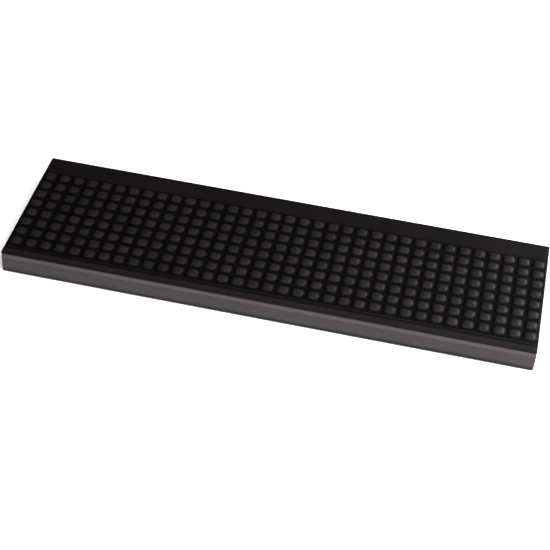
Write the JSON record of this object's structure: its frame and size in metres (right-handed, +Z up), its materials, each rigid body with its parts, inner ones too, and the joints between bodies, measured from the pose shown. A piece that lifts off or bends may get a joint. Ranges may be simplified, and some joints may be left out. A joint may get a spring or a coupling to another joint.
{
  "type": "seedling heat mat",
  "caption": "Long flat heated slab with a studded black rubber top in a grey channel frame, for warming seed trays from below.",
  "frame": {"origin": "middle of the slab's footprint, on the bench that its feet stand on", "axes": "+X along the slab's length, +Y from the grooved front edge to the back edge with the lead entry, +Z up"},
  "size_m": [0.76, 0.226, 0.039],
  "materials": {
    "cover_rubber": "moulded matt, fine grain",
    "rail_pvc": "extruded, satin",
    "base_plastic": "fine grain",
    "foot_rubber": "moulded",
    "gasket_rubber": "smooth",
    "spreader_aluminium": "mill finish",
    "zinc_steel": "zinc plated",
    "plain_brass": "turned",
    "white_foam": "closed-cell foam",
    "red_silicone": "silicone sheath",
    "cream_nylon": "moulded",
    "brown_pvc": "wire insulation",
    "blue_pvc": "wire insulation",
    "green_pvc": "wire insulation, green and yellow"
  },
  "bodies": {
    "root": {"top_cover": "cover_rubber", "heat_spreader": "spreader_aluminium", "front_rail": "rail_pvc", "back_rail": "rail_pvc", "left_rail": "rail_pvc", "right_rail": "rail_pvc", "corner_plate_front_left": "zinc_steel", "corner_plate_front_right": "zinc_steel", "corner_plate_back_left": "zinc_steel", "corner_plate_back_right": "zinc_steel", "base_plate": "base_plastic", "base_gasket": "gasket_rubber", "base_screws": "zinc_steel", "corner_screws": "zinc_steel", "foot_front_left": "foot_rubber", "foot_front_middle": "foot_rubber", "foot_front_right": "foot_rubber", "foot_back_left": "foot_rubber", "foot_back_middle": "foot_rubber", "foot_back_right": "foot_rubber", "insulation_board": "white_foam", "heating_cable": "red_silicone", "cable_end_seal": "gasket_rubber", "cable_joint": "gasket_rubber", "cable_comb_left": "cream_nylon", "cable_comb_right": "cream_nylon", "thermal_cutout": "base_plastic", "cutout_clip": "zinc_steel", "clip_rivets": "spreader_aluminium", "terminal_block": "cream_nylon", "terminal_barrels": "plain_brass", "terminal_screws": "zinc_steel", "terminal_fixing_screws": "zinc_steel", "live_wire_in": "brown_pvc", "live_wire_out": "brown_pvc", "neutral_wire": "blue_pvc", "earth_wire": "green_pvc", "plate_earth_wire": "green_pvc", "earth_tag": "plain_brass", "earth_rivet": "spreader_aluminium", "lead_grommet": "foot_rubber", "lead_clamp_lower": "base_plastic", "lead_clamp_upper": "base_plastic", "lead_clamp_screws": "zinc_steel"}
  },
  "joints": []
}
